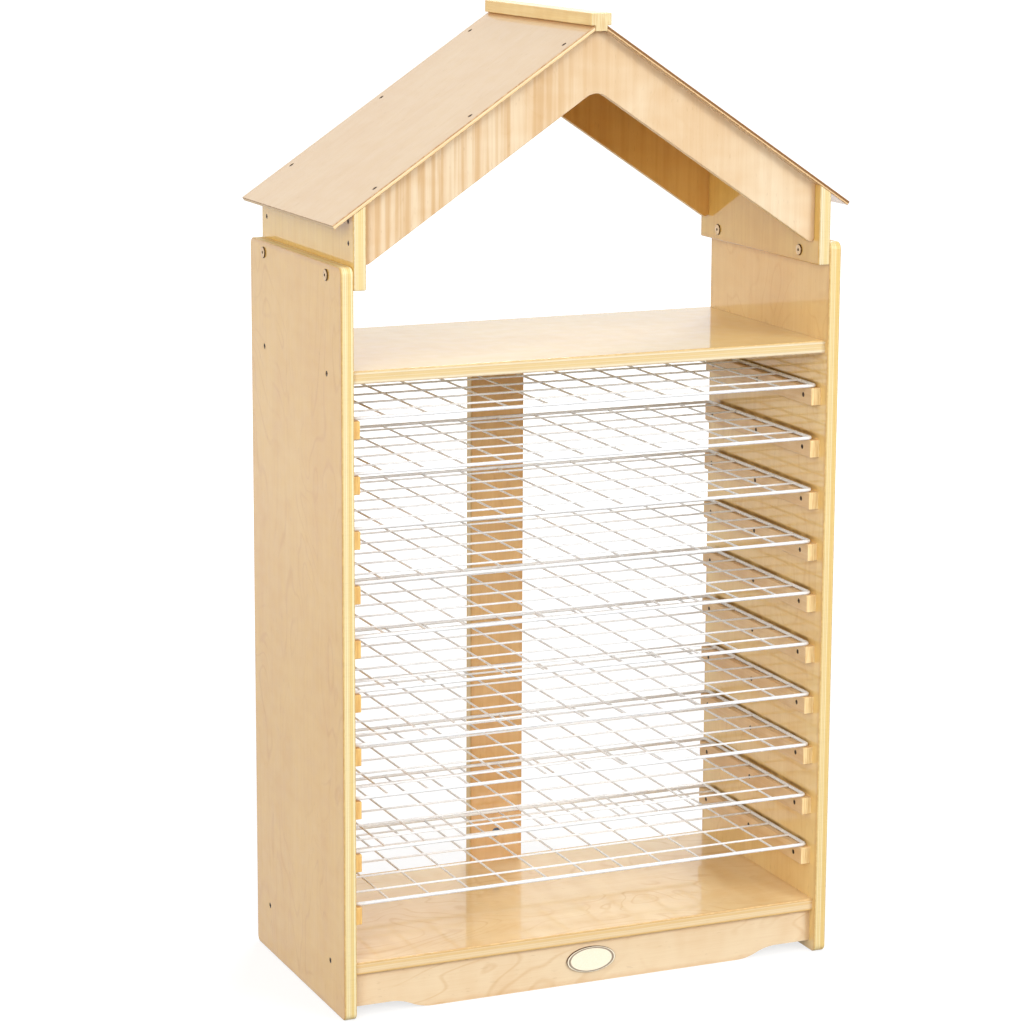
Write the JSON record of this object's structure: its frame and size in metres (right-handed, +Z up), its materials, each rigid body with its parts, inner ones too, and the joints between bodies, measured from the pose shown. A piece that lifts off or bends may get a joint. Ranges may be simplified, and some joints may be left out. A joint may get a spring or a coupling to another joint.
{
  "type": "art drying rack",
  "caption": "Free-standing wooden cabinet with a pitched roof, whose loose wire racks rest on side rails and slide out at the front to dry flat paintings.",
  "frame": {"origin": "on the floor, under the middle of the cabinet: the bottom centre of its bounding box", "axes": "+Z up; -Y is the open front, where the racks slide out; +X is to the right of someone who faces the front"},
  "size_m": [0.7728, 0.366, 1.371],
  "materials": {
    "birch_board": "clear satin lacquer",
    "thin_roof_ply": "clear satin lacquer",
    "birch_rail": "clear satin lacquer",
    "white_coated_wire": "white powder coat",
    "zinc_screw": "zinc plated",
    "nickel_fitting": "nickel plated",
    "beech_dowel": "bare beech",
    "plaque_wood": "pale lacquer with a dark edge"
  },
  "bodies": {
    "cabinet": {"left_side_panel": "birch_board", "right_side_panel": "birch_board", "base_shelf": "birch_board", "top_shelf": "birch_board", "front_plinth": "birch_board", "rear_plinth": "birch_board", "back_post": "birch_board", "left_eave_board": "birch_board", "right_eave_board": "birch_board", "front_gable": "birch_board", "back_gable": "birch_board", "left_roof_panel": "thin_roof_ply", "right_roof_panel": "thin_roof_ply", "ridge_cap": "birch_board", "left_rail_01": "birch_rail", "left_rail_02": "birch_rail", "left_rail_03": "birch_rail", "left_rail_04": "birch_rail", "left_rail_05": "birch_rail", "left_rail_06": "birch_rail", "left_rail_07": "birch_rail", "left_rail_08": "birch_rail", "left_rail_09": "birch_rail", "left_rail_10": "birch_rail", "right_rail_01": "birch_rail", "right_rail_02": "birch_rail", "right_rail_03": "birch_rail", "right_rail_04": "birch_rail", "right_rail_05": "birch_rail", "right_rail_06": "birch_rail", "right_rail_07": "birch_rail", "right_rail_08": "birch_rail", "right_rail_09": "birch_rail", "right_rail_10": "birch_rail", "plaque": "plaque_wood", "left_rail_screws": "zinc_screw", "right_rail_screws": "zinc_screw", "shelf_screws": "zinc_screw", "gable_screws": "zinc_screw", "roof_screws": "zinc_screw", "eave_bolts": "nickel_fitting", "eave_sleeve_nuts": "nickel_fitting", "post_bolt": "nickel_fitting", "post_barrel_nut": "nickel_fitting", "plinth_dowels": "beech_dowel", "post_dowels": "beech_dowel", "ridge_dowels": "beech_dowel"},
    "rack_01": {"rack_01": "white_coated_wire"},
    "rack_02": {"rack_02": "white_coated_wire"},
    "rack_03": {"rack_03": "white_coated_wire"},
    "rack_04": {"rack_04": "white_coated_wire"},
    "rack_05": {"rack_05": "white_coated_wire"},
    "rack_06": {"rack_06": "white_coated_wire"},
    "rack_07": {"rack_07": "white_coated_wire"},
    "rack_08": {"rack_08": "white_coated_wire"},
    "rack_09": {"rack_09": "white_coated_wire"},
    "rack_10": {"rack_10": "white_coated_wire"}
  },
  "joints": [
    {"name": "rack_01_slide", "type": "slide", "parent": "cabinet", "child": "rack_01", "axis": [0, -1, 0], "range_m": [0, 0.3]},
    {"name": "rack_02_slide", "type": "slide", "parent": "cabinet", "child": "rack_02", "axis": [0, -1, 0], "range_m": [0, 0.3]},
    {"name": "rack_03_slide", "type": "slide", "parent": "cabinet", "child": "rack_03", "axis": [0, -1, 0], "range_m": [0, 0.3]},
    {"name": "rack_04_slide", "type": "slide", "parent": "cabinet", "child": "rack_04", "axis": [0, -1, 0], "range_m": [0, 0.3]},
    {"name": "rack_05_slide", "type": "slide", "parent": "cabinet", "child": "rack_05", "axis": [0, -1, 0], "range_m": [0, 0.3]},
    {"name": "rack_06_slide", "type": "slide", "parent": "cabinet", "child": "rack_06", "axis": [0, -1, 0], "range_m": [0, 0.3]},
    {"name": "rack_07_slide", "type": "slide", "parent": "cabinet", "child": "rack_07", "axis": [0, -1, 0], "range_m": [0, 0.3]},
    {"name": "rack_08_slide", "type": "slide", "parent": "cabinet", "child": "rack_08", "axis": [0, -1, 0], "range_m": [0, 0.3]},
    {"name": "rack_09_slide", "type": "slide", "parent": "cabinet", "child": "rack_09", "axis": [0, -1, 0], "range_m": [0, 0.3]},
    {"name": "rack_10_slide", "type": "slide", "parent": "cabinet", "child": "rack_10", "axis": [0, -1, 0], "range_m": [0, 0.3]}
  ]
}
